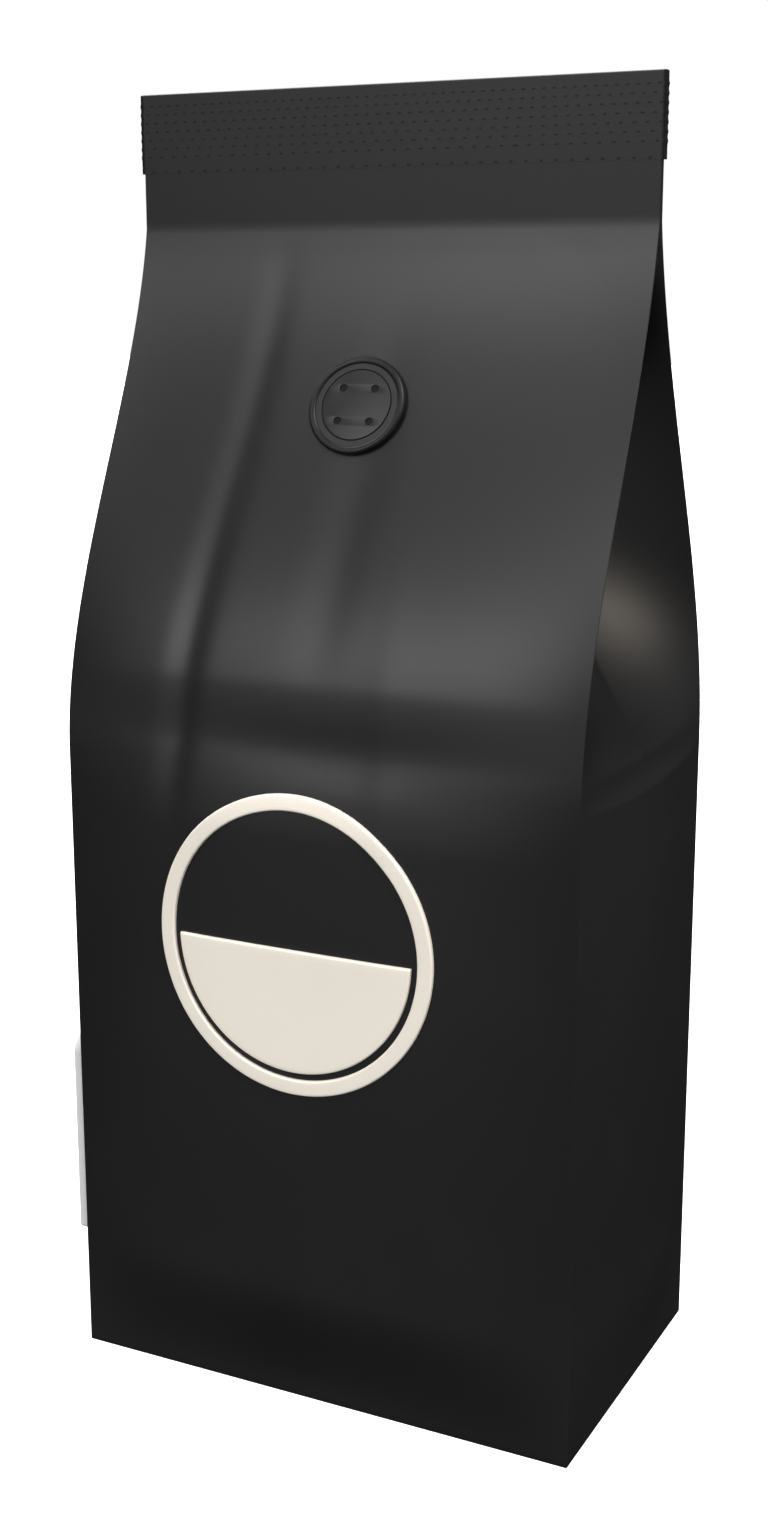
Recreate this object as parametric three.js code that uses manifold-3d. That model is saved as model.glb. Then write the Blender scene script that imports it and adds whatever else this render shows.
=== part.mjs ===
// Matte black side-gusset coffee bag, shut by a crimped seal and standing on its flat base.
// Millimetres, +Z up, the front panel faces -Y. The origin is the middle of the base.

import * as THREE from 'three';
import { mergeVertices } from 'three/addons/utils/BufferGeometryUtils.js';
import Module from 'manifold-3d';

const wasm = await Module();
wasm.setup();

const { lerp, smoothstep } = THREE.MathUtils;

// The filled bag: width, depth and the heights where its form changes.
const bagWidth = 120;
const bagDepth = 74.2;
const shoulderZ = 142.8; // the flat side panels end here and the gussets begin to fold in
const neckZ = 254.4; // the front and back panels meet here
const sealZ = 266.2; // lower edge of the crimped seal
const bagHeight = 283;
const neckThickness = 1.5;
const closing = 2.48; // how roundly the panels turn in from the shoulder to the neck
const cornerRadius = 0.3;
const baseRound = 0.3; // inset of the base where the film turns under
const halfWidth = bagWidth / 2;
const halfDepth = bagDepth / 2;
const halfNeck = neckThickness / 2;

// How the sides fold: each gusset goes in as a V whose film keeps its length.
const foldSlack = 3.1; // the fold stays this much short of a taut fold
const foldEndRun = 26; // the V closes over this height below the neck
const foldEndGap = 2; // and is shut this far below it
const creaseDrop = 1.2; // the crease over a side panel starts this far below the shoulder
const creaseSag = 2.2; // and hangs this far lower in its middle
const sideRise = 1.2; // how far a side panel bows out
const footRun = 26; // the bow grows from nothing at the base over this height
const sideRelease = 6; // height over which it flattens above the crease, at once and then ever slower

// Bulges of the front and back panels. Each grows from its start to its full height and fades from
// there to its end; it dies away towards the panel's corner edges, the later the flatter it is.
const bulges = [
  { rise: 3.6, swell: 0.005, start: 0, full: 28, fade: 130, end: 162, flatness: 2.8 },
  { rise: 2.6, swell: 0, start: 148, full: 163, fade: 152, end: 220, flatness: 3.4 },
  { rise: 0.2, swell: 0, start: 142, full: 153, fade: 153, end: 164, flatness: 6 },
  { rise: -0.55, swell: 0, start: 175, full: 225, fade: 225, end: 260, flatness: 6 },
];
const neckBlend = 1.2; // the panels are flat again where they come this close to the neck's faces

// The waist: a shallow dent across the panel between belly and shoulder.
const waist = { x: 5.5, z: 147.3, depth: 0.6, spread: 4.1, reach: 18 };

// Creases that run down a panel: place at the neck, lean, half-width, depth and where they fade.
const creases = [
  { x: -23.5, lean: 0.072, spread: 2.75, depth: 0.44, foot: 122, full: 150, fade: 194, top: 264 },
  { x: 5.6, lean: 0.047, spread: 4.1, depth: 0.32, foot: 150, full: 185, fade: 194, top: 249 },
  { x: 14.3, lean: -0.037, spread: 3, depth: -0.16, foot: 110, full: 132, fade: 150, top: 203 },
];

// The crimped seal: a band a little wider and thicker than the neck, with ribs across it.
const sealWidth = 121.5;
const sealCore = 1.7;
const rib = { count: 7, pitch: 1.8, first: 2.55, height: 0.15, foot: 0.9, crest: 0.4 };
const sealOverlap = 1.5; // how far the neck runs up inside the band

// The one-way valve: a round dish welded to the front panel, and the vented disc in it.
const valve = { x: -1, z: 217.4, radius: 11.1, base: 0.4, floor: 0.95, steps: 36 };
const valveOval = 0.975; // the valve's height as a share of its width
const valveRim = { inner: 9.45, top: 1.4, round: 0.7, roundSteps: 3, lip: 0.3 };
const vent = { radius: 7.87, seat: 8.25, thickness: 0.45, bevel: 0.12, steps: 32 };
const ventHole = { spacing: 7.4, radius: 0.87, steps: 10 };

// The raised print on the front panel: a round border and a plain field low inside it.
const border = { x: -2.1, z: 107, outer: 32.5, inner: 29.1, steps: 60 };
const field = { radius: 27.6, top: -2, tip: 0.97, columns: 16, rows: 5 }; // tip: share of the arc kept
const printOval = 1.011; // the print's height as a share of its width
const printThickness = 0.9;

// The stiff plain label on the left side panel.
const sideLabel = { width: 72, foot: 27.6, head: 75.3, thickness: 1.3, headRound: 4.6, footRound: 0.8 };

const touchGap = 0.3; // clearance between pieces that touch

// Steps of the bag's mesh: stops across a panel (as a share of its half-width) and up the bag,
// each with its number of steps to the next stop.
const panelStops = [[-1, 4], [-0.64, 8], [-0.27, 4], [0, 5], [0.3, 5], [1, 0]];
const heightStops = [
  [baseRound, 5], [footRun, 5], [108, 13], [176, 12], [neckZ, 1], [sealZ + sealOverlap, 0],
];
const sideSteps = 8;
const seatChecks = 24; // places round the valve's foot where its clearance is taken

const filmMaterial = new THREE.MeshStandardMaterial({ color: 0x232325, roughness: 0.5, metalness: 0 });
const valveMaterial = new THREE.MeshStandardMaterial({ color: 0x3a3a3c, roughness: 0.45, metalness: 0 });
const printMaterial = new THREE.MeshStandardMaterial({ color: 0xe3ddd0, roughness: 0.5, metalness: 0 });
const labelMaterial = new THREE.MeshStandardMaterial({ color: 0xc0bfbc, roughness: 0.6, metalness: 0 });

const direction = {
  left: new THREE.Vector3(-1, 0, 0),
  right: new THREE.Vector3(1, 0, 0),
  front: new THREE.Vector3(0, -1, 0),
  back: new THREE.Vector3(0, 1, 0),
  up: new THREE.Vector3(0, 0, 1),
};

const bell = (distance, width) => Math.exp(-0.5 * (distance / width) ** 2);

// Half of the bag's depth at a height, as its corner edges show it: upright, then in to the neck.
function halfDepthAt(z) {
  const t = THREE.MathUtils.clamp((z - shoulderZ) / (neckZ - shoulderZ), 0, 1);
  return halfDepth - (halfDepth - halfNeck) * t * t * (closing - (closing - 1) * t);
}

// How far a panel stands proud of its corner edges: the bulges, less the waist's dent and the creases.
function panelRelief(x, z) {
  let relief = -waist.depth * bell(z - waist.z, waist.spread) * bell(x - waist.x, waist.reach);
  for (const bulge of bulges) {
    const strength = smoothstep(z, bulge.start, bulge.full) * (1 - smoothstep(z, bulge.fade, bulge.end));
    const rise = bulge.rise + bulge.swell * z;
    relief += rise * strength * (1 - Math.abs(x / halfWidth) ** bulge.flatness);
  }
  for (const crease of creases) {
    const centre = crease.x - crease.lean * (neckZ - z);
    const strength = smoothstep(z, crease.foot, crease.full) * (1 - smoothstep(z, crease.fade, crease.top));
    relief -= crease.depth * strength * bell(x - centre, crease.spread);
  }
  return relief * Math.min(1, (halfDepthAt(z) - halfNeck) / neckBlend);
}

const frontY = (x, z) => -(halfDepthAt(z) + panelRelief(x, z));

// Depth of the gusset's V: the side film keeps its length as the panels close.
function foldDepthAt(z) {
  const half = halfDepthAt(z);
  const taut = Math.sqrt(Math.max(0, halfDepth ** 2 - half ** 2));
  const closing = 1 - smoothstep(z, neckZ - foldEndRun, neckZ - foldEndGap);
  return Math.max(0, taut - foldSlack) * closing;
}

// How far a side stands beyond the corner edges, at v from -1 (front) to 1 (back).
function sideReach(v, z) {
  const crease = shoulderZ - creaseDrop - creaseSag * (1 - v * v);
  const left = 1 - THREE.MathUtils.clamp((z - crease) / sideRelease, 0, 1);
  const bow = sideRise * smoothstep(z, 0, footRun) * left * left;
  return bow * (1 - v * v) - foldDepthAt(z) * (1 - Math.abs(v));
}

// Values from a list of [stop, steps to the next stop].
function spread(stops) {
  const values = [];
  for (let i = 0; i < stops.length - 1; i += 1) {
    for (let k = 0; k < stops[i][1]; k += 1) values.push(lerp(stops[i][0], stops[i + 1][0], k / stops[i][1]));
  }
  values.push(stops.at(-1)[0]);
  return values;
}

// One level outline of the bag, anticlockwise from above, starting at the left end of the front.
function outlineAt(z, inset) {
  const half = halfDepthAt(z) - inset;
  const wide = halfWidth - inset;
  const arc = cornerRadius * (1 - Math.SQRT1_2);
  const outline = [];
  // The back half repeats the front half, turned by half a turn.
  for (const turn of [1, -1]) {
    for (const stop of spread(panelStops)) {
      const x = stop * (wide - cornerRadius);
      outline.push([turn * x, -turn * (half + panelRelief(x, z))]);
    }
    outline.push([turn * (wide - arc), -turn * (half - arc)]);
    for (let k = 0; k <= sideSteps; k += 1) {
      const v = -1 + 2 * k / sideSteps;
      outline.push([turn * (wide + sideReach(v, z)), turn * v * (half - cornerRadius)]);
    }
    outline.push([turn * (wide - arc), turn * (half - arc)]);
  }
  return outline.map(([x, y]) => [x, y, z]);
}

function geometryFrom(points, triangles) {
  const geometry = new THREE.BufferGeometry();
  geometry.setAttribute('position', new THREE.Float32BufferAttribute(points.flat(), 3));
  geometry.setIndex(triangles.flat());
  return geometry;
}

// Closed body through a stack of level outlines, with a fan over each end.
function loft(outlines) {
  const count = outlines[0].length;
  const points = outlines.flat();
  const triangles = [];
  for (let level = 0; level < outlines.length - 1; level += 1) {
    for (let k = 0; k < count; k += 1) {
      const a = level * count + k;
      const b = level * count + (k + 1) % count;
      triangles.push([a, b, b + count], [a, b + count, a + count]);
    }
  }
  const foot = points.push([0, 0, outlines[0][0][2]]) - 1;
  const head = points.push([0, 0, outlines.at(-1)[0][2]]) - 1;
  const lastLevel = (outlines.length - 1) * count;
  for (let k = 0; k < count; k += 1) {
    const next = (k + 1) % count;
    triangles.push([foot, next, k], [head, lastLevel + k, lastLevel + next]);
  }
  return geometryFrom(points, triangles);
}

function toSolid(geometry) {
  const bare = geometry.clone();
  bare.deleteAttribute('normal');
  bare.deleteAttribute('uv');
  const merged = mergeVertices(bare, 1e-4);
  const vertProperties = new Float32Array(merged.attributes.position.array);
  const triVerts = new Uint32Array(merged.index.array);
  return new wasm.Manifold(new wasm.Mesh({ numProp: 3, vertProperties, triVerts }));
}

function toGeometry(solid) {
  const mesh = solid.getMesh();
  const geometry = new THREE.BufferGeometry();
  geometry.setAttribute('position', new THREE.BufferAttribute(mesh.vertProperties, 3));
  geometry.setIndex(new THREE.BufferAttribute(mesh.triVerts, 1));
  return geometry;
}

// The crimped band: its ribbed section in Y and Z, drawn along X.
function sealGeometry() {
  const flank = [[sealCore / 2, sealZ]];
  for (let k = rib.count - 1; k >= 0; k -= 1) {
    const z = bagHeight - rib.first - k * rib.pitch;
    flank.push([sealCore / 2, z - rib.foot / 2]);
    flank.push([sealCore / 2 + rib.height, z - rib.crest / 2]);
    flank.push([sealCore / 2 + rib.height, z + rib.crest / 2]);
    flank.push([sealCore / 2, z + rib.foot / 2]);
  }
  flank.push([sealCore / 2, bagHeight]);
  const mirrored = flank.map(([y, z]) => [-y, z]).reverse();
  const section = new THREE.Shape([...flank, ...mirrored].map(([y, z]) => new THREE.Vector2(y, z)));
  const geometry = new THREE.ExtrudeGeometry(section, { depth: sealWidth, bevelEnabled: false, steps: 1 });
  geometry.applyMatrix4(new THREE.Matrix4().makeBasis(direction.back, direction.up, direction.right));
  geometry.translate(-sealWidth / 2, 0, 0);
  return geometry;
}

function bagGeometry() {
  const outlines = [outlineAt(0, baseRound), ...spread(heightStops).map((z) => outlineAt(z, 0))];
  return toGeometry(toSolid(loft(outlines)).add(toSolid(sealGeometry())));
}

// A thin piece that follows the front panel: flat cells in [x, z], anticlockwise from the front.
function onFront(cells, triangles, thickness) {
  const count = cells.length;
  const outer = cells.map(([x, z]) => [x, frontY(x, z) - touchGap - thickness, z]);
  const inner = cells.map(([x, z]) => [x, frontY(x, z) - touchGap, z]);
  const edges = new Set(triangles.flatMap(([a, b, c]) => [`${a}>${b}`, `${b}>${c}`, `${c}>${a}`]));
  const faces = [...triangles, ...triangles.map(([a, b, c]) => [c + count, b + count, a + count])];
  for (const edge of edges) {
    const [a, b] = edge.split('>').map(Number);
    if (!edges.has(`${b}>${a}`)) faces.push([b, a, a + count], [b, a + count, b + count]);
  }
  return geometryFrom([...outer, ...inner], faces);
}

// Triangles of a grid of cells whose columns run to the right or round, and whose rows run up or in.
function gridTriangles(columns, rows, closed) {
  const triangles = [];
  const across = closed ? columns : columns + 1;
  for (let row = 0; row < rows; row += 1) {
    for (let column = 0; column < columns; column += 1) {
      const a = row * across + column;
      const b = row * across + (column + 1) % across;
      triangles.push([a, b, b + across], [a, b + across, a + across]);
    }
  }
  return triangles;
}

function borderGeometry() {
  const cells = [];
  for (const radius of [border.outer, border.inner]) {
    for (let k = 0; k < border.steps; k += 1) {
      const angle = 2 * Math.PI * k / border.steps;
      cells.push([border.x + radius * Math.cos(angle), border.z + printOval * radius * Math.sin(angle)]);
    }
  }
  return onFront(cells, gridTriangles(border.steps, 1, true), printThickness);
}

// The field: the part of a disc under a level chord, its columns evenly spaced in angle.
function fieldGeometry() {
  const cells = [];
  const widest = field.tip * Math.acos(field.top / field.radius);
  for (let row = 0; row <= field.rows; row += 1) {
    for (let column = 0; column <= field.columns; column += 1) {
      const x = field.radius * Math.sin(lerp(-widest, widest, column / field.columns));
      const z = lerp(-printOval * Math.sqrt(field.radius ** 2 - x * x), field.top, row / field.rows);
      cells.push([border.x + x, border.z + z]);
    }
  }
  return onFront(cells, gridTriangles(field.columns, field.rows, false), printThickness);
}

// The dish of the valve, turned about its own +Y: base, rounded rim, seat for the vented disc.
function valveDishGeometry() {
  const { radius, base, floor } = valve;
  const { inner, top, round, roundSteps, lip } = valveRim;
  const profile = [[0, 0], [radius, 0]];
  for (let k = 0; k <= roundSteps; k += 1) {
    const angle = k / roundSteps * Math.PI / 2;
    profile.push([radius - round + round * Math.cos(angle), top - round + round * Math.sin(angle)]);
  }
  profile.push([inner + lip, top], [inner, top - lip], [inner, floor]);
  profile.push([vent.seat, floor], [vent.seat, base], [0, base]);
  const geometry = new THREE.LatheGeometry(profile.map(([r, h]) => new THREE.Vector2(r, h)), valve.steps);
  return geometry.rotateX(Math.PI / 2);
}

function circlePoints(x, y, radius, steps) {
  const angles = Array.from({ length: steps }, (_, k) => 2 * Math.PI * k / steps);
  return angles.map((angle) => new THREE.Vector2(x + radius * Math.cos(angle), y + radius * Math.sin(angle)));
}

function ventDiscGeometry() {
  const { radius, thickness, bevel, steps } = vent;
  const face = new THREE.Shape(circlePoints(0, 0, radius - bevel, steps));
  const out = ventHole.spacing / 2;
  for (const [x, y] of [[-out, -out], [out, -out], [out, out], [-out, out]]) {
    face.holes.push(new THREE.Path(circlePoints(x, y, ventHole.radius, ventHole.steps)));
  }
  const geometry = new THREE.ExtrudeGeometry(face, {
    depth: thickness - 2 * bevel, bevelThickness: bevel, bevelSize: bevel, bevelSegments: 1,
  });
  return geometry.translate(0, 0, bevel);
}

// The valve stands square on the film where it is welded, clear of it all round.
function valveGroup() {
  const slope = (frontY(valve.x, valve.z + 1) - frontY(valve.x, valve.z - 1)) / 2;
  const normal = new THREE.Vector3(0, -1, slope).normalize();
  const centre = new THREE.Vector3(valve.x, frontY(valve.x, valve.z), valve.z);
  const turn = new THREE.Quaternion().setFromUnitVectors(direction.up, normal);
  let lift = 0;
  for (let k = 0; k < seatChecks; k += 1) {
    const angle = 2 * Math.PI * k / seatChecks;
    const foot = new THREE.Vector3(Math.cos(angle), valveOval * Math.sin(angle), 0);
    foot.multiplyScalar(valve.radius);
    foot.applyQuaternion(turn).add(centre);
    foot.y = frontY(foot.x, foot.z);
    lift = Math.max(lift, foot.sub(centre).dot(normal));
  }
  const dish = named('valve_dish', valveDishGeometry(), valveMaterial);
  const disc = named('valve_disc', ventDiscGeometry(), valveMaterial);
  disc.position.z = valve.base + touchGap;
  const group = new THREE.Group().add(dish, disc);
  group.quaternion.copy(turn);
  group.scale.y = valveOval;
  group.position.copy(centre).addScaledVector(normal, lift + touchGap);
  return group;
}

function sideLabelGeometry() {
  const { width, foot, head, thickness, headRound, footRound } = sideLabel;
  const half = width / 2;
  const face = new THREE.Shape();
  face.absarc(half - footRound, foot + footRound, footRound, -Math.PI / 2, 0);
  face.absarc(half - headRound, head - headRound, headRound, 0, Math.PI / 2);
  face.absarc(-half + headRound, head - headRound, headRound, Math.PI / 2, Math.PI);
  face.absarc(-half + footRound, foot + footRound, footRound, Math.PI, 1.5 * Math.PI);
  const plate = new THREE.ExtrudeGeometry(face, { depth: thickness, bevelEnabled: false, curveSegments: 6 });
  plate.applyMatrix4(new THREE.Matrix4().makeBasis(direction.front, direction.up, direction.left));
  return plate.translate(-(halfWidth + sideRise + touchGap), 0, 0);
}

function named(name, geometry, material) {
  const mesh = new THREE.Mesh(geometry, material);
  mesh.name = name;
  return mesh;
}

const coffeeBag = new THREE.Group();
coffeeBag.add(
  named('bag', bagGeometry(), filmMaterial),
  valveGroup(),
  named('print_border', borderGeometry(), printMaterial),
  named('print_field', fieldGeometry(), printMaterial),
  named('side_label', sideLabelGeometry(), labelMaterial),
);

export default coffeeBag;
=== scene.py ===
import math

import bmesh
import bpy
import numpy as np
from mathutils import Matrix, Vector


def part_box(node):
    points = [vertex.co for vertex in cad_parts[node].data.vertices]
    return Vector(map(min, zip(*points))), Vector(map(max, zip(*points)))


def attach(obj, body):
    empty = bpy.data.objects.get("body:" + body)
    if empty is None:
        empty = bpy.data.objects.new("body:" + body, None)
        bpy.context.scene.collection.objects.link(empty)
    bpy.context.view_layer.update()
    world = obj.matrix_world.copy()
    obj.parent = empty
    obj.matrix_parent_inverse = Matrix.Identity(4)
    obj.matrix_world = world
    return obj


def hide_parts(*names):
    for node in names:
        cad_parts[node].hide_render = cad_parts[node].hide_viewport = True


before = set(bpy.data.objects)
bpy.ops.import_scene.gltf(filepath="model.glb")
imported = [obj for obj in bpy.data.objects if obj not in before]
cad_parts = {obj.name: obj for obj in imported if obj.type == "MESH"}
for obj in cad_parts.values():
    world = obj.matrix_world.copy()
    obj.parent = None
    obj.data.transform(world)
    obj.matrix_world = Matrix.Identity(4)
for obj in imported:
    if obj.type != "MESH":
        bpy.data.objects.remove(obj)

scene = bpy.context.scene
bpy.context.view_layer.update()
toMetres, toMillimetres = 0.001, 1000  # sizes below are in millimetres
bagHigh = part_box("bag")[1] * toMillimetres


def smoothStep(value, low, high):
    t = np.clip((value - low) / (high - low), 0, 1)
    return t * t * (3 - 2 * t)


def bell(distance, width):
    return np.exp(-0.5 * (distance / width) ** 2)


def lookingBack(azimuth, elevation):
    # unit direction from the bag: azimuth 0 is straight out of the front, 90 is to its right
    a, e = math.radians(azimuth), math.radians(elevation)
    return Vector((math.sin(a) * math.cos(e), -math.cos(a) * math.cos(e), math.sin(e)))


def makePiece(name, mesh, material, slotName, *nodes):
    # one visible piece: it rides on the only body and stands for its CAD nodes
    piece = bpy.data.objects.new(name, mesh)
    scene.collection.objects.link(piece)
    mesh.materials.append(material)
    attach(piece, "root")
    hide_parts(*nodes)
    return piece


def meshFrom(name, points, faces, sharpAngle=None):
    mesh = bpy.data.meshes.new(name)
    mesh.from_pydata((np.asarray(points).reshape(-1, 3) * toMetres).tolist(), [], faces)
    mesh.shade_smooth()
    if sharpAngle is not None:
        mesh.set_sharp_from_angle(angle=math.radians(sharpAngle))
    return mesh


def writePaintedShade(mesh, values):
    # how much painted shade each point of the mesh gets, from 0 to 1; the finishes lower the shine there
    mesh.attributes.new("pit", "FLOAT", "POINT").data.foreach_set("value", np.ravel(values))


def gridFaces(rows, columns):
    # quads between closed rows of points, each row joined up with its own start
    faces = []
    for row in range(rows - 1):
        start = row * columns
        for k in range(columns):
            a, b = start + k, start + (k + 1) % columns
            faces.append((a, b, b + columns, a + columns))
    return faces


def capFaces(rows, columns, foot, head):
    # fans that close the first row on the point foot and the last row on the point head
    last = (rows - 1) * columns
    faces = []
    for k in range(columns):
        nextOne = (k + 1) % columns
        faces.append((foot, nextOne, k))
        faces.append((head, last + k, last + nextOne))
    return faces


# Camera: less than half a metre from the bag and a little above the valve, turned to show the right side.
cameraView = {"place": (0.1929, -0.3875, 0.2412), "azimuth": 26.38, "elevation": 12.97, "lens": 46.58,
              "shift": (-0.0051, -0.0133), "nearest": 0.01}


def addCamera():
    camera = bpy.data.objects.new("camera", bpy.data.cameras.new("camera"))
    scene.collection.objects.link(camera)
    away = lookingBack(cameraView["azimuth"], cameraView["elevation"])
    camera.location = cameraView["place"]
    camera.rotation_euler = away.to_track_quat("Z", "Y").to_euler()
    camera.data.lens = cameraView["lens"]
    camera.data.shift_x, camera.data.shift_y = cameraView["shift"]
    camera.data.clip_start = cameraView["nearest"]
    scene.camera = camera


# Node helpers. Names of inputs are in camelCase: grainScale sets the socket called "Grain Scale".
def setInputs(node, inputs):
    for name, value in inputs.items():
        label = "".join(" " + letter if letter.isupper() else letter for letter in name)
        node.inputs[label[0].upper() + label[1:]].default_value = value
    return node


def addNode(tree, kind, **inputs):
    return setInputs(tree.nodes.new(kind), inputs)


def newGroup(name, inputs, outputs):
    group = bpy.data.node_groups.new(name, "ShaderNodeTree")
    for label, kind, value in inputs:
        socket = group.interface.new_socket(label, in_out="INPUT", socket_type=kind)
        if value is not None:
            socket.default_value = value
    for label, kind in outputs:
        group.interface.new_socket(label, in_out="OUTPUT", socket_type=kind)
    return group, group.nodes.new("NodeGroupInput"), group.nodes.new("NodeGroupOutput")


def placeGroup(tree, group, **inputs):
    node = tree.nodes.new("ShaderNodeGroup")
    node.node_tree = group
    return setInputs(node, inputs)


# Studio: a pale floor, and a world of soft round lights that fade outwards from their middles.
studio = {
    "floorColour": (0.9, 0.9, 0.9, 1), "floorRoughness": 0.9, "floorGlow": 0.7, "floorSize": 12,
    "backdrop": 1.0,
    "lights": [
        {"azimuth": -23, "elevation": 24, "tightness": 58, "strength": 6.6, "colour": (1, 1, 1)},
        {"azimuth": -18, "elevation": 48, "tightness": 32, "strength": 2.2, "colour": (1, 1, 1)},
        {"azimuth": -20, "elevation": 0, "tightness": 32, "strength": 0.9, "colour": (1, 1, 1)},
        {"azimuth": 58, "elevation": 54, "tightness": 22, "strength": 11, "colour": (1, 1, 1)},
        {"azimuth": 236, "elevation": 45, "tightness": 9.5, "strength": 7.8, "colour": (1, 1, 1)},
        {"azimuth": 99, "elevation": 17, "tightness": 22, "strength": 3.05, "colour": (1, 0.9, 0.79)},
        {"azimuth": 105, "elevation": 11, "tightness": 36, "strength": 1.6, "colour": (1, 0.9, 0.79)},
        {"azimuth": 127, "elevation": 3, "tightness": 8.5, "strength": 0.3, "colour": (1, 1, 1)},
        {"azimuth": 48, "elevation": -14, "tightness": 3.2, "strength": 0.4, "colour": (1, 1, 1)},
        {"azimuth": -30, "elevation": -12, "tightness": 6.5, "strength": 0.3, "colour": (1, 1, 1)},
    ],
}


def makeSoftLight():
    # the light that comes from one direction: brightest towards the light's middle
    group, given, result = newGroup(
        "softLight",
        [("Direction", "NodeSocketVector", None), ("Toward", "NodeSocketVector", None),
         ("Tightness", "NodeSocketFloat", 10.0), ("Strength", "NodeSocketFloat", 1.0),
         ("Colour", "NodeSocketColor", (1, 1, 1, 1))],
        [("Light", "NodeSocketColor")],
    )
    facing = addNode(group, "ShaderNodeVectorMath")
    facing.operation = "DOT_PRODUCT"
    away, narrow, fade, scaled = [addNode(group, "ShaderNodeMath") for _ in range(4)]
    away.operation = "SUBTRACT"
    away.inputs[1].default_value = 1
    narrow.operation = "MULTIPLY"
    fade.operation = "EXPONENT"
    scaled.operation = "MULTIPLY"
    tinted = addNode(group, "ShaderNodeVectorMath")
    tinted.operation = "SCALE"
    link = group.links.new
    link(given.outputs["Direction"], facing.inputs[0])
    link(given.outputs["Toward"], facing.inputs[1])
    link(facing.outputs["Value"], away.inputs[0])
    link(away.outputs["Value"], narrow.inputs[0])
    link(given.outputs["Tightness"], narrow.inputs[1])
    link(narrow.outputs["Value"], fade.inputs[0])
    link(fade.outputs["Value"], scaled.inputs[0])
    link(given.outputs["Strength"], scaled.inputs[1])
    link(given.outputs["Colour"], tinted.inputs[0])
    link(scaled.outputs["Value"], tinted.inputs["Scale"])
    link(tinted.outputs["Vector"], result.inputs["Light"])
    return group


def addFloor():
    size = studio["floorSize"] / 2
    corners = [(-size, -size, 0), (size, -size, 0), (size, size, 0), (-size, size, 0)]
    floorMesh = bpy.data.meshes.new("floor")
    floorMesh.from_pydata(corners, [], [(0, 1, 2, 3)])
    floor = bpy.data.objects.new("floor", floorMesh)
    scene.collection.objects.link(floor)
    paint = bpy.data.materials.new("floorPaint")
    paint.use_nodes = True
    setInputs(paint.node_tree.nodes["Principled BSDF"], {
        "baseColor": studio["floorColour"], "roughness": studio["floorRoughness"],
        "emissionColor": studio["floorColour"], "emissionStrength": studio["floorGlow"]})
    floorMesh.materials.append(paint)
    floor.visible_glossy = False  # the lights below the floor's level still reach the bag
    floor.visible_diffuse = False
    floor.visible_shadow = False


def addStudio():
    # seen straight on, the world is a plain white backdrop; everything else is lit by the soft lights
    scene.view_settings.view_transform = "Standard"
    world = bpy.data.worlds.new("studio")
    scene.world = world
    world.use_nodes = True
    tree = world.node_tree
    tree.nodes.clear()
    softLight = makeSoftLight()
    direction = addNode(tree, "ShaderNodeTexCoord")
    total = None
    for light in studio["lights"]:
        glow = placeGroup(tree, softLight, toward=lookingBack(light["azimuth"], light["elevation"]),
                          tightness=light["tightness"], strength=light["strength"],
                          colour=(*light["colour"], 1))
        tree.links.new(direction.outputs["Generated"], glow.inputs["Direction"])
        if total is None:
            total = glow.outputs["Light"]
            continue
        both = addNode(tree, "ShaderNodeVectorMath")
        tree.links.new(total, both.inputs[0])
        tree.links.new(glow.outputs["Light"], both.inputs[1])
        total = both.outputs["Vector"]
    lights = addNode(tree, "ShaderNodeBackground")
    backdrop = addNode(tree, "ShaderNodeBackground", color=(1, 1, 1, 1), strength=studio["backdrop"])
    path = addNode(tree, "ShaderNodeLightPath")
    pick = addNode(tree, "ShaderNodeMixShader")
    output = addNode(tree, "ShaderNodeOutputWorld")
    tree.links.new(total, lights.inputs["Color"])
    tree.links.new(path.outputs["Is Camera Ray"], pick.inputs["Fac"])
    tree.links.new(lights.outputs["Background"], pick.inputs[1])
    tree.links.new(backdrop.outputs["Background"], pick.inputs[2])
    tree.links.new(pick.outputs["Shader"], output.inputs["Surface"])


addCamera()
addFloor()
addStudio()
print("camera and studio ready")


# Effects that several finishes share, each a node group.
def makeFineGrain():
    # a height for Bump: a fine tooth over a slow unevenness
    slowShare = 0.06  # the unevenness's scale, as a share of the tooth's
    group, given, result = newGroup(
        "fineGrain",
        [("Vector", "NodeSocketVector", None), ("Grain Scale", "NodeSocketFloat", 1500.0),
         ("Waviness", "NodeSocketFloat", 0.5)],
        [("Height", "NodeSocketFloat")],
    )
    grain = addNode(group, "ShaderNodeTexNoise", detail=3.0, roughness=0.6)
    slowScale = addNode(group, "ShaderNodeMath")
    slowScale.operation = "MULTIPLY"
    slowScale.inputs[1].default_value = slowShare
    slow = addNode(group, "ShaderNodeTexNoise", detail=2.0, roughness=0.5)
    blend = addNode(group, "ShaderNodeMath")
    blend.operation = "MULTIPLY_ADD"
    link = group.links.new
    link(given.outputs["Vector"], grain.inputs["Vector"])
    link(given.outputs["Vector"], slow.inputs["Vector"])
    link(given.outputs["Grain Scale"], grain.inputs["Scale"])
    link(given.outputs["Grain Scale"], slowScale.inputs[0])
    link(slowScale.outputs["Value"], slow.inputs["Scale"])
    link(slow.outputs["Fac"], blend.inputs[0])
    link(given.outputs["Waviness"], blend.inputs[1])
    link(grain.outputs["Fac"], blend.inputs[2])
    link(blend.outputs["Value"], result.inputs["Height"])
    return group


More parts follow.
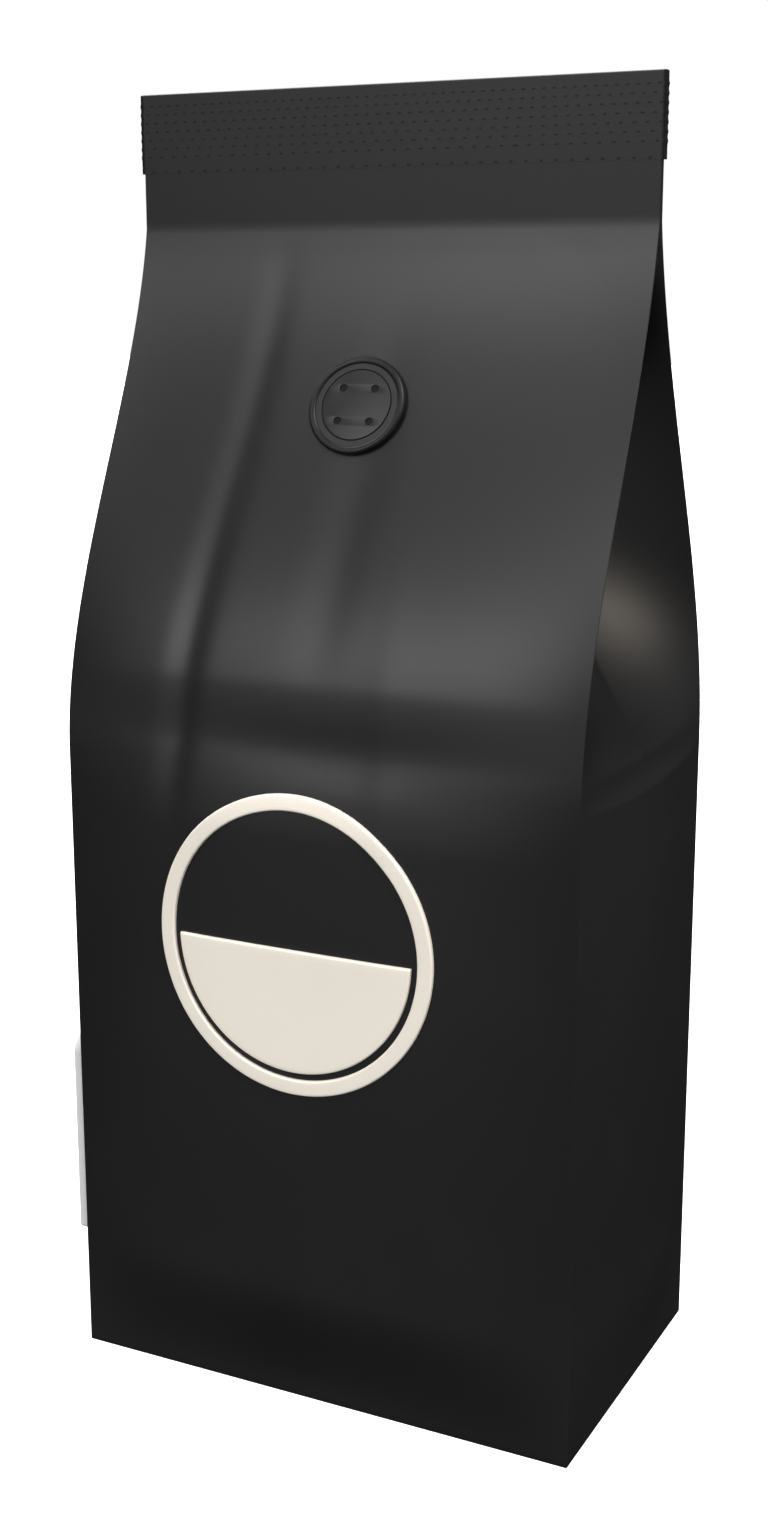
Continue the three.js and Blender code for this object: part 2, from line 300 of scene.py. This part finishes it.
def makeHandling():
    # a soft mask of where hands and cartons have rubbed, and the roughness that goes with it
    group, given, result = newGroup(
        "handling",
        [("Vector", "NodeSocketVector", None), ("Patch Scale", "NodeSocketFloat", 30.0),
         ("Clean Roughness", "NodeSocketFloat", 0.42), ("Rubbed Roughness", "NodeSocketFloat", 0.5)],
        [("Mask", "NodeSocketFloat"), ("Roughness", "NodeSocketFloat")],
    )
    patches = addNode(group, "ShaderNodeTexNoise", detail=4.0, roughness=0.55, distortion=0.4)
    mask = addNode(group, "ShaderNodeMapRange", fromMin=0.4, fromMax=0.65)
    mask.interpolation_type = "SMOOTHSTEP"
    rough = addNode(group, "ShaderNodeMapRange")
    link = group.links.new
    link(given.outputs["Vector"], patches.inputs["Vector"])
    link(given.outputs["Patch Scale"], patches.inputs["Scale"])
    link(patches.outputs["Fac"], mask.inputs["Value"])
    link(mask.outputs["Result"], rough.inputs["Value"])
    link(given.outputs["Clean Roughness"], rough.inputs["To Min"])
    link(given.outputs["Rubbed Roughness"], rough.inputs["To Max"])
    link(mask.outputs["Result"], result.inputs["Mask"])
    link(rough.outputs["Result"], result.inputs["Roughness"])
    return group


fineGrain = makeFineGrain()
handling = makeHandling()


def makeFinish(name, look):
    # colour drifts between two shades with the handling mask; grain goes through Bump
    material = bpy.data.materials.new(name)
    material.use_nodes = True
    tree = material.node_tree
    shader = tree.nodes["Principled BSDF"]
    shader.inputs["Specular IOR Level"].default_value = look["specular"]
    place = addNode(tree, "ShaderNodeTexCoord")
    worn = placeGroup(tree, handling, patchScale=look["patchScale"], cleanRoughness=look["roughness"][0],
                      rubbedRoughness=look["roughness"][1])
    grain = placeGroup(tree, fineGrain, grainScale=look["grainScale"], waviness=look["waviness"])
    shade = addNode(tree, "ShaderNodeMix")
    shade.data_type = "RGBA"
    shade.inputs["A"].default_value = look["colour"]
    shade.inputs["B"].default_value = look["rubbedColour"]
    bump = addNode(tree, "ShaderNodeBump", strength=look["bump"], distance=look["bumpDepth"])
    link = tree.links.new
    link(place.outputs["Object"], worn.inputs["Vector"])
    link(place.outputs["Object"], grain.inputs["Vector"])
    link(worn.outputs["Mask"], shade.inputs["Factor"])
    link(shade.outputs["Result"], shader.inputs["Base Color"])
    link(worn.outputs["Roughness"], shader.inputs["Roughness"])
    link(grain.outputs["Height"], bump.inputs["Height"])
    link(bump.outputs["Normal"], shader.inputs["Normal"])
    if "pitShine" in look:  # painted shade: where a mesh's painted-shade attribute is high it shines less, which darkens what it marks
        pit = addNode(tree, "ShaderNodeAttribute")
        pit.attribute_name = "pit"
        shine = addNode(tree, "ShaderNodeMapRange", toMin=look["specular"], toMax=look["pitShine"])
        link(pit.outputs["Fac"], shine.inputs["Value"])
        link(shine.outputs["Result"], shader.inputs["Specular IOR Level"])
    return material


filmLook = {
    "colour": (0.0056, 0.0056, 0.006, 1), "rubbedColour": (0.0068, 0.0068, 0.0072, 1),
    "roughness": (0.29, 0.31), "specular": 0.35, "pitShine": 0.14, "patchScale": 22,
    "grainScale": 2200, "waviness": 0.5, "bump": 0.05, "bumpDepth": 0.0002,
}
valveLook = {
    "colour": (0.008, 0.008, 0.0084, 1), "rubbedColour": (0.011, 0.011, 0.0114, 1),
    "roughness": (0.31, 0.35), "specular": 0.36, "pitShine": 0.08, "patchScale": 160,
    "grainScale": 3000, "waviness": 0.3, "bump": 0.08, "bumpDepth": 0.0002,
}
printLook = {
    "colour": (0.93, 0.865, 0.76, 1), "rubbedColour": (0.91, 0.845, 0.74, 1),
    "roughness": (0.42, 0.5), "specular": 0.5, "patchScale": 60,
    "grainScale": 2600, "waviness": 0.4, "bump": 0.1, "bumpDepth": 0.0002,
}
labelLook = {
    "colour": (0.76, 0.765, 0.762, 1), "rubbedColour": (0.73, 0.735, 0.732, 1),
    "roughness": (0.52, 0.6), "specular": 0.4, "patchScale": 40,
    "grainScale": 1800, "waviness": 0.6, "bump": 0.12, "bumpDepth": 0.0002,
}

filmFinish = makeFinish("mattBlackFilm", filmLook)
valveFinish = makeFinish("satinGreyPlastic", valveLook)
printFinish = makeFinish("creamRaisedInk", printLook)
labelFinish = makeFinish("greyLabelStock", labelLook)
print("finishes ready")


# The filled bag, in millimetres. The back half repeats the front one turned round.
# Bulges reach full height, fade from there to their end, and die away towards the panel's corner edges.
bagForm = {
    "depth": 74.2, "shoulder": 142.8, "neck": 254.4, "neckThickness": 1.5, "closing": 2.48, "corner": 0.12,
    "neckBlend": 1.2, "footRound": 0.2, "sealFoot": 266.2, "sealOverlap": 1.5, "sideRise": 1.2, "footRun": 26,
    "foldSlack": 3.1, "foldEndRun": 26, "foldEndGap": 2, "foldRound": 0.012, "baseHollow": 0.9,
    "creaseDrop": 1.2, "creaseSag": 2.2, "sideRelease": 8, "sideOut": 0.1,
    "bulges": [
        {"rise": 3.6, "swell": 0.005, "start": 0, "full": 28, "fade": 130, "end": 162, "flatness": 2.8},
        {"rise": 2.6, "swell": 0, "start": 148, "full": 163, "fade": 152, "end": 220, "flatness": 3.4},
        {"rise": 0.2, "swell": 0, "start": 142, "full": 153, "fade": 153, "end": 164, "flatness": 6},
        {"rise": -0.55, "swell": 0, "start": 175, "full": 225, "fade": 225, "end": 260, "flatness": 6},
    ],
    "waist": {"x": 5.5, "z": 147.3, "depth": 0.6, "spread": 4.1, "reach": 18},
    "creases": [
        {"x": -23.5, "lean": 0.072, "spread": 2.65, "depth": 0.49,
         "foot": 122, "full": 150, "fade": 194, "top": 264},
        {"x": 5.6, "lean": 0.047, "spread": 4.1, "depth": 0.32,
         "foot": 150, "full": 185, "fade": 194, "top": 249},
        {"x": 14.3, "lean": -0.037, "spread": 3, "depth": -0.16,
         "foot": 110, "full": 132, "fade": 150, "top": 203},
    ],
    "mesh": {"across": 100, "side": 44, "foldCrowding": 1.25, "step": 1.3, "fineStep": 0.45,
             "fineFrom": 136.5, "fineTo": 145.5, "footSteps": 3, "baseRings": 12, "sharpAngle": 28},
}

halfWidth = bagHigh.x - bagForm["sideRise"] + bagForm["sideOut"]
halfDepth = bagForm["depth"] / 2
halfNeck = bagForm["neckThickness"] / 2


def halfDepthAt(z):
    # upright below the shoulder, then in to the neck
    t = np.clip((z - bagForm["shoulder"]) / (bagForm["neck"] - bagForm["shoulder"]), 0, 1)
    return halfDepth - (halfDepth - halfNeck) * t * t * (bagForm["closing"] - (bagForm["closing"] - 1) * t)


def panelRelief(x, z):
    # how far a panel stands proud of its corner edges: the bulges, less the waist's dent and the creases
    waist = bagForm["waist"]
    relief = -waist["depth"] * bell(z - waist["z"], waist["spread"]) * bell(x - waist["x"], waist["reach"])
    for bulge in bagForm["bulges"]:
        strength = smoothStep(z, bulge["start"], bulge["full"])
        strength = strength * (1 - smoothStep(z, bulge["fade"], bulge["end"]))
        rise = bulge["rise"] + bulge["swell"] * z
        relief = relief + rise * strength * (1 - np.abs(x / halfWidth) ** bulge["flatness"])
    for crease in bagForm["creases"]:
        centre = crease["x"] - crease["lean"] * (bagForm["neck"] - z)
        depth = crease["depth"] * smoothStep(z, crease["foot"], crease["full"])
        depth = depth * (1 - smoothStep(z, crease["fade"], crease["top"]))
        relief = relief - depth * bell(x - centre, crease["spread"])
    return relief * np.minimum(1, (halfDepthAt(z) - halfNeck) / bagForm["neckBlend"])


def frontY(x, z):
    return -(halfDepthAt(z) + panelRelief(x, z))


def sideReach(v, z):
    # how far a side stands beyond the corner edges, at v from -1 (front) to 1 (back)
    half = halfDepthAt(z)
    taut = np.sqrt(np.maximum(0, halfDepth ** 2 - half ** 2))
    neck = bagForm["neck"]
    closing = 1 - smoothStep(z, neck - bagForm["foldEndRun"], neck - bagForm["foldEndGap"])
    fold = np.maximum(0, taut - bagForm["foldSlack"]) * closing
    crease = bagForm["shoulder"] - bagForm["creaseDrop"] - bagForm["creaseSag"] * (1 - v * v)
    left = 1 - np.clip((z - crease) / bagForm["sideRelease"], 0, 1)
    bow = bagForm["sideRise"] * smoothStep(z, 0, bagForm["footRun"]) * left ** 4
    rounded = np.sqrt(v * v + bagForm["foldRound"] ** 2)
    return bow * (1 - v * v) - fold * (1 - rounded)


def filmOutlines(z):
    # one closed outline of the bag for each height in the column z, its four corners finely cut off
    half = halfDepthAt(z)
    corner, mesh = bagForm["corner"], bagForm["mesh"]
    panelX = (np.linspace(-1, 1, mesh["across"] + 1) + 0 * z) * (halfWidth - corner)
    v = np.linspace(-1, 1, mesh["side"] + 1)
    v = np.sign(v) * np.abs(v) ** mesh["foldCrowding"] + 0 * z  # closer together at the fold
    parts = []
    for turn in (1, -1):
        parts.append((turn * panelX, turn * frontY(panelX, z)))
        parts.append((turn * (halfWidth + sideReach(v, z)), turn * v * (half - corner)))
    x = np.concatenate([part[0] for part in parts], axis=1)
    y = np.concatenate([part[1] for part in parts], axis=1)
    return np.stack([x, y, z + 0 * x], axis=2)


def filmLevels(top):
    # heights of the outlines: the turn under the base, then even steps, finer at the crease over the sides
    mesh, bend = bagForm["mesh"], bagForm["footRound"]
    turnUnder = bend * (1 - np.cos(np.linspace(0, math.pi / 2, mesh["footSteps"] + 1)[1:-1]))
    fineFrom, fineTo, step = mesh["fineFrom"], mesh["fineTo"], mesh["step"]
    return np.concatenate([turnUnder, np.linspace(bend, fineFrom, round(fineFrom / step), endpoint=False),
                           np.arange(fineFrom, fineTo, mesh["fineStep"]),
                           np.linspace(fineTo, top, round((top - fineTo) / step))])


def makeBagFilm():
    mesh, bend, hollow = bagForm["mesh"], bagForm["footRound"], bagForm["baseHollow"]
    top = bagForm["sealFoot"] + bagForm["sealOverlap"]
    levels = filmLevels(top)
    film = filmOutlines(levels[:, None])
    for k in range(mesh["footSteps"] - 1):  # the film turns under the base on a small round
        inset = bend - math.sqrt(bend ** 2 - (bend - levels[k]) ** 2)
        film[k, :, :2] *= 1 - inset / halfDepth
    base = []
    lowest = levels[0]
    for share in np.linspace(0, 1, mesh["baseRings"])[1:-1]:  # from the middle of the base out to its edge
        ring = film[0] * share
        ring[:, 2] = lowest + hollow * (1 - share ** 2)
        base.append(ring)
    outlines = np.concatenate([base, film])
    rows, columns = outlines.shape[:2]
    points = np.concatenate([outlines.reshape(-1, 3), [[0, 0, lowest + hollow], [0, 0, top]]])
    faces = gridFaces(rows, columns) + capFaces(rows, columns, rows * columns, rows * columns + 1)
    skin = meshFrom("bagFilm", points, faces, mesh["sharpAngle"])
    return makePiece("bagFilm", skin, filmFinish, "film", "bag")


bagFilm = makeBagFilm()
print("bag film made,", len(bagFilm.data.polygons), "faces")


# The crimped seal: a flat band with rows of small pits, each row a little wider spaced than the one above it.
seal = {
    "core": 1.7, "width": 121.35, "rows": 7, "pitch": 1.8, "first": 2.55, "rowSpread": 0.3,
    "faceRise": 0.004, "endRise": 0.14, "topRound": 0.2, "endSquareness": 0.1,
    "pitPitch": 2.21, "pitPitchGrowth": 0.135, "pitMeet": 35, "pitLength": 0.74, "pitHeight": 0.32,
    "pitDepth": 0.014, "footPitch": 3.3, "footLength": 0.66, "footHeight": 0.42, "footAbove": 0.32,
    "dashEnds": (0.32, 0.68), "dashSides": (0.3, 0.7),
    "across": 430, "upright": 100, "endSteps": 8, "sharpAngle": 32,
}


def crimpRows(z):
    # heights of the rows of crimps, and the low swelling of the band along them
    rows = [bagHigh.z - seal["first"] - k * seal["pitch"] for k in range(seal["rows"])]
    return rows, sum(bell(z - rowZ, seal["rowSpread"]) for rowZ in rows)


def dash(along, upwards, length, height):
    # 1 on a short level dash and 0 off it; its soft edges lie between two shares of its length and height
    endFrom, endTo = seal["dashEnds"]
    sideFrom, sideTo = seal["dashSides"]
    ends = 1 - smoothStep(np.abs(along), endFrom * length, endTo * length)
    return ends * (1 - smoothStep(np.abs(upwards), sideFrom * height, sideTo * height))


def pitsAt(x, z):
    # the rows of pits across the face, and the finer row along the band's foot
    pits = np.zeros(np.broadcast(x, z).shape)
    for k, rowZ in enumerate(crimpRows(z)[0]):
        pitch = seal["pitPitch"] + k * seal["pitPitchGrowth"]
        along = (x - seal["pitMeet"] + pitch / 2) % pitch - pitch / 2
        pits = np.maximum(pits, dash(along, z - rowZ, seal["pitLength"], seal["pitHeight"]))
    along = x % seal["footPitch"] - seal["footPitch"] / 2
    footZ = bagForm["sealFoot"] + seal["footAbove"]
    return np.maximum(pits, dash(along, z - footZ, seal["footLength"], seal["footHeight"]))


def makeCrimpedSeal():
    levels = np.linspace(bagForm["sealFoot"], bagHigh.z, seal["upright"] + 1)[:, None]
    toTop = np.clip((bagHigh.z - levels) / seal["topRound"], 0, 1)
    shrink = seal["topRound"] * (1 - toTop) ** 2
    swelling = crimpRows(levels)[1]
    half, wide = seal["core"] / 2, seal["width"] / 2
    across = np.linspace(-1, 1, seal["across"] + 1)[None, :] * (wide - half)
    pits = pitsAt(across, levels)
    face = half + seal["faceRise"] * swelling - seal["pitDepth"] * pits - shrink
    angle = np.linspace(-math.pi / 2, math.pi / 2, seal["endSteps"] + 1)[None, 1:-1]
    outward = (half + seal["endRise"] * swelling - shrink) * np.abs(np.cos(angle)) ** seal["endSquareness"]
    sideways = (half + seal["faceRise"] * swelling - shrink) * np.abs(np.sin(angle)) ** seal["endSquareness"]
    parts, shadeParts = [], []
    for turn in (1, -1):
        parts += [(turn * (across + 0 * levels), -turn * face),
                  (turn * (wide - half + outward), turn * sideways * np.sign(np.sin(angle)))]
        shadeParts += [pits, 0 * outward + 1]  # painted shade: the cut ends get it in full, as the pits do
    x = np.concatenate([part[0] for part in parts], axis=1)
    y = np.concatenate([part[1] for part in parts], axis=1)
    band = np.stack([x, y, levels + 0 * x], axis=2)
    rows, columns = band.shape[:2]
    faces = gridFaces(rows, columns)
    last = (rows - 1) * columns
    # the top and the underside: strips across, with a triangle at the middle of each cut end
    tip = columns - 1 - (seal["endSteps"] - 1) // 2
    strips = [(tip, tip + 1, tip - 1), (tip + columns // 2 - 1, tip + columns // 2, tip + columns // 2 + 1)]
    strips += [(tip + 1 + k, tip + 2 + k, tip - 2 - k, tip - 1 - k) for k in range(columns // 2 - 2)]
    for strip in strips:
        faces.append(tuple(last + k % columns for k in strip))
        faces.append(tuple(k % columns for k in reversed(strip)))
    mesh = meshFrom("crimpedSeal", band, faces, seal["sharpAngle"])
    writePaintedShade(mesh, np.concatenate(shadeParts, axis=1))
    return makePiece("crimpedSeal", mesh, filmFinish, "film", "bag")


crimpedSeal = makeCrimpedSeal()
print("crimped seal made,", len(crimpedSeal.data.polygons), "faces")


# The one-way valve: a turned dish with a flat rim, and the vented disc in it.
valve = {
    "radius": 11.1, "oval": 0.975, "height": 1.4, "base": 0.8, "floor": 0.95, "settle": 0.3, "sunk": 0.35,
    "rimInner": 9.45, "rimRound": 0.7, "rimSteps": 12, "rimShade": 0.45, "wallFoot": 0.1, "seat": 8.1,
    "edge": 0.06, "steps": 128, "sharpAngle": 42,
    "discRadius": 7.87, "discTop": 1.02, "discRound": 0.08, "discLift": 0.02, "holeSpacing": 7.4,
    "holeRadius": 0.87, "discSteps": 24, "discRoundSteps": 3, "discWeld": 0.001, "discSharpAngle": 30,
}


def valvePlacing():
    # the dish sits square on the film: its middle comes from the frame, its tilt from the film's slope,
    # and it settles into the clearance the frame leaves under it
    low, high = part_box("valve_dish")
    middle = (low + high) / 2 * toMillimetres
    slope = (frontY(middle.x, middle.z + 1) - frontY(middle.x, middle.z - 1)) / 2
    normal = Vector((0, -1, float(slope))).normalized()
    seat = (middle - normal * (valve["height"] / 2 + valve["settle"])) * toMetres
    upright = normal.to_track_quat("Z", "Y").to_matrix().to_4x4()
    return Matrix.Translation(seat) @ upright @ Matrix.Scale(valve["oval"], 4, (0, 1, 0))


def arcPoints(centre, radius, start, end, steps):
    angles = np.radians(np.linspace(start, end, steps + 1))
    return [(centre[0] + radius * math.cos(a), centre[1] + radius * math.sin(a)) for a in angles]


def turned(profile, steps):
    # a profile of (radius, height) points turned about the valve's axis, closed on the axis at both ends
    angles = np.linspace(0, 2 * math.pi, steps, endpoint=False)
    rings = [[(r * math.cos(a), r * math.sin(a), h) for a in angles] for r, h in profile if r > 0]
    points = [point for ring in rings for point in ring]
    faces = gridFaces(len(rings), steps) + capFaces(len(rings), steps, len(points), len(points) + 1)
    return points + [(0, 0, profile[0][1]), (0, 0, profile[-1][1])], faces


def makeValveDish(placing):
    # the rim rises on a small round and falls inwards on a longer one
    top, rim, edge = valve["height"], valve["rimRound"], valve["edge"]
    outer, inner, seat, floor = valve["radius"], valve["rimInner"], valve["seat"], valve["floor"]
    ridge = outer - rim
    profile = [(0, -valve["sunk"]), (outer, -valve["sunk"]), (outer, valve["wallFoot"])]
    profile += arcPoints((ridge, top - rim), rim, 0, 90, valve["rimSteps"])
    for angle in np.linspace(0, math.pi / 2, valve["rimSteps"] + 1)[1:]:
        profile.append((ridge - (ridge - inner) * math.sin(angle), floor + (top - floor) * math.cos(angle)))
    rimRows = len(profile) - 1
    profile += [(inner - edge, floor), (seat + edge, floor), (seat, floor - edge)]
    profile += [(seat, valve["base"]), (0, valve["base"])]
    points, faces = turned(profile, valve["steps"])
    mesh = meshFrom("valveDish", points, faces, valve["sharpAngle"])
    # painted shade, made by lowering the shine: some on the rim, and in full on the ledge under the disc,
    # which shows through its holes
    shadeLevels = np.repeat([valve["rimShade"]] * rimRows + [0, 0, 1, 1], valve["steps"])
    writePaintedShade(mesh, np.append(shadeLevels, [valve["rimShade"], 1]))
    makePiece("valveDish", mesh, valveFinish, "valve", "valve_dish").matrix_world = placing


def makeValveDisc(placing):
    # a filled flat curve with four holes in it, given thickness and a small round
    outline = bpy.data.curves.new("valveDisc", "CURVE")
    outline.dimensions = "2D"
    outline.fill_mode = "BOTH"
    outline.resolution_u = valve["discSteps"]
    outline.bevel_resolution = valve["discRoundSteps"]
    half = (valve["discTop"] - valve["base"] - valve["discLift"]) / 2
    outline.extrude = (half - valve["discRound"]) * toMetres
    outline.bevel_depth = valve["discRound"] * toMetres
    out = valve["holeSpacing"] / 2
    circles = [(0, 0, valve["discRadius"] - valve["discRound"])]
    circles += [(x, y, valve["holeRadius"] + valve["discRound"]) for x in (-out, out) for y in (-out, out)]
    handle = 4 / 3 * math.tan(math.pi / 8)  # the handle that makes four points a circle
    for x, y, radius in circles:
        spline = outline.splines.new("BEZIER")
        spline.bezier_points.add(3)
        spline.use_cyclic_u = True
        for k, point in enumerate(spline.bezier_points):
            along = Vector((math.cos(k * math.pi / 2), math.sin(k * math.pi / 2), 0))
            across = Vector((-along.y, along.x, 0)) * handle
            middle = Vector((x, y, 0))
            point.co = (middle + along * radius) * toMetres
            point.handle_left = (middle + (along - across) * radius) * toMetres
            point.handle_right = (middle + (along + across) * radius) * toMetres
    form = bpy.data.objects.new("valveDiscForm", outline)
    scene.collection.objects.link(form)
    mesh = bpy.data.meshes.new_from_object(form.evaluated_get(bpy.context.evaluated_depsgraph_get()))
    bpy.data.objects.remove(form)
    mesh.materials.clear()
    joined = bmesh.new()  # the curve's faces and rounds become one closed skin
    joined.from_mesh(mesh)
    bmesh.ops.remove_doubles(joined, verts=joined.verts, dist=valve["discWeld"] * toMetres)
    joined.to_mesh(mesh)
    joined.free()
    mesh.transform(Matrix.Translation((0, 0, (valve["discTop"] - half) * toMetres)))
    mesh.shade_smooth()
    mesh.set_sharp_from_angle(angle=math.radians(valve["discSharpAngle"]))
    makePiece("valveDisc", mesh, valveFinish, "valve", "valve_disc").matrix_world = placing


placing = valvePlacing()
makeValveDish(placing)
makeValveDisc(placing)
print("valve made")


# The raised print on the front panel: a round border, and a plain field low inside it.
emblem = {"rise": 0.95, "round": 0.42, "roundSteps": 5, "sunk": 0.3, "steps": 256, "borderWidth": 3.4,
          "borderLines": (0.3, 0.5, 0.7), "fieldSteps": 300, "fieldRings": 16}


def bevelProfile():
    # (inset, height) pairs of a rounded edge that starts a little inside the film
    rise, bend = emblem["rise"], emblem["round"]
    angles = np.linspace(0, math.pi / 2, emblem["roundSteps"] + 1)
    rounded = [(bend * (1 - math.cos(a)), rise - bend + bend * math.sin(a)) for a in angles]
    return [(0, -emblem["sunk"])] + rounded


def onFront(x, z, height):
    return np.stack([x, frontY(x, z) - height, z], axis=-1)


def borderPlace():
    # the border's middle, its outer half width and how tall it is for its width, from its box in the frame
    low, high = [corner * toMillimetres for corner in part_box("print_border")]
    wide, tall = high.x - low.x, high.z - low.z
    return (low.x + high.x) / 2, (low.z + high.z) / 2, wide / 2, tall / wide


def makePrintBorder():
    centreX, centreZ, outer, tall = borderPlace()
    width = emblem["borderWidth"]
    edge = bevelProfile()
    across = edge + [(width * share, emblem["rise"]) for share in emblem["borderLines"]]
    across += [(width - inset, height) for inset, height in reversed(edge)]
    angles = np.linspace(0, 2 * math.pi, emblem["steps"], endpoint=False)
    rings = []
    for inset, height in across:
        radius = outer - inset
        x, z = centreX + radius * np.cos(angles), centreZ + tall * radius * np.sin(angles)
        rings.append(onFront(x, z, height))
    faces = gridFaces(len(across), emblem["steps"])
    last = (len(across) - 1) * emblem["steps"]
    for k in range(emblem["steps"]):  # the hidden back of the ring
        nextOne = (k + 1) % emblem["steps"]
        faces.append((nextOne, k, last + k, last + nextOne))
    mesh = meshFrom("printBorder", rings, faces)
    makePiece("printBorder", mesh, printFinish, "print", "print_border")


def makePrintField():
    # the part of a disc under a level chord, drawn as outlines that shrink inwards
    low, high = [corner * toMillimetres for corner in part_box("print_field")]
    centreX, centreZ, _, tall = borderPlace()
    radius, chord = (centreZ - low.z) / tall, (high.z - centreZ) / tall
    steps = emblem["fieldSteps"]
    insets = bevelProfile()
    deepest = (radius + chord) / 2
    inner = np.linspace(emblem["round"], deepest, emblem["fieldRings"])[1:-1]
    insets += [(inset, emblem["rise"]) for inset in inner]
    rings = []
    for inset, height in insets:
        r, top = radius - inset, chord - inset
        tip = math.acos(min(1, -top / r))  # half the angle of the arc, from straight down
        arc = np.linspace(-tip, tip, steps * 2 // 3, endpoint=False)
        x, z = r * np.sin(arc), -r * np.cos(arc)
        wide = r * math.sin(tip)
        line = np.linspace(wide, -wide, steps // 3, endpoint=False)
        x, z = np.concatenate([x, line]), np.concatenate([z, np.full(len(line), top)])
        rings.append(onFront(centreX + x, centreZ + tall * z, height))
    points = np.stack(rings).reshape(-1, 3)
    rows, columns = len(insets), points.shape[0] // len(insets)
    middle = onFront(np.array([centreX]), np.array([centreZ + tall * (chord - deepest)]), emblem["rise"])
    points = np.concatenate([points, middle, middle + [[0, emblem["rise"] + emblem["sunk"], 0]]])
    faces = gridFaces(rows, columns) + capFaces(rows, columns, rows * columns + 1, rows * columns)
    makePiece("printField", meshFrom("printField", points, faces), printFinish, "print", "print_field")


makePrintBorder()
makePrintField()
print("print made")


# The stiff plain label on the left side panel, from its box in the frame.
label = {"headRound": 4.6, "footRound": 0.8, "leastRound": 0.05, "cornerSteps": 10, "bevel": 0.35,
         "bevelSteps": 4, "inside": 0.1, "sharpAngle": 35}


def labelOutline(halfSpan, foot, head, inset):
    # corners in turn: right foot, right head, left head, left foot
    outline = []
    corners = [(1, -1, label["footRound"], -90), (1, 1, label["headRound"], 0),
               (-1, 1, label["headRound"], 90), (-1, -1, label["footRound"], 180)]
    for sideways, upwards, radius, start in corners:
        bend = max(radius - inset, label["leastRound"])
        y = sideways * (halfSpan - inset - bend)
        z = head - inset - bend if upwards > 0 else foot + inset + bend
        outline += arcPoints((y, z), bend, start, start + 90, label["cornerSteps"])
    return outline


def makeSideLabel():
    low, high = [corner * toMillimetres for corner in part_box("side_label")]
    halfSpan, bevel = (high.y - low.y) / 2, label["bevel"]
    rings = [[(-halfWidth + label["inside"], y, z) for y, z in labelOutline(halfSpan, low.z, high.z, 0)]]
    for angle in np.linspace(0, math.pi / 2, label["bevelSteps"] + 1):
        inset = bevel * (1 - math.cos(angle))
        x = low.x + bevel * (1 - math.sin(angle))
        rings.append([(x, y, z) for y, z in labelOutline(halfSpan, low.z, high.z, inset)])
    columns = len(rings[0])
    faces = [face[::-1] for face in gridFaces(len(rings), columns)]
    faces.append(tuple(range(columns)))
    faces.append(tuple(reversed(range((len(rings) - 1) * columns, len(rings) * columns))))
    mesh = meshFrom("sideLabel", rings, faces, label["sharpAngle"])
    makePiece("sideLabel", mesh, labelFinish, "label", "side_label")


makeSideLabel()
print("side label made")
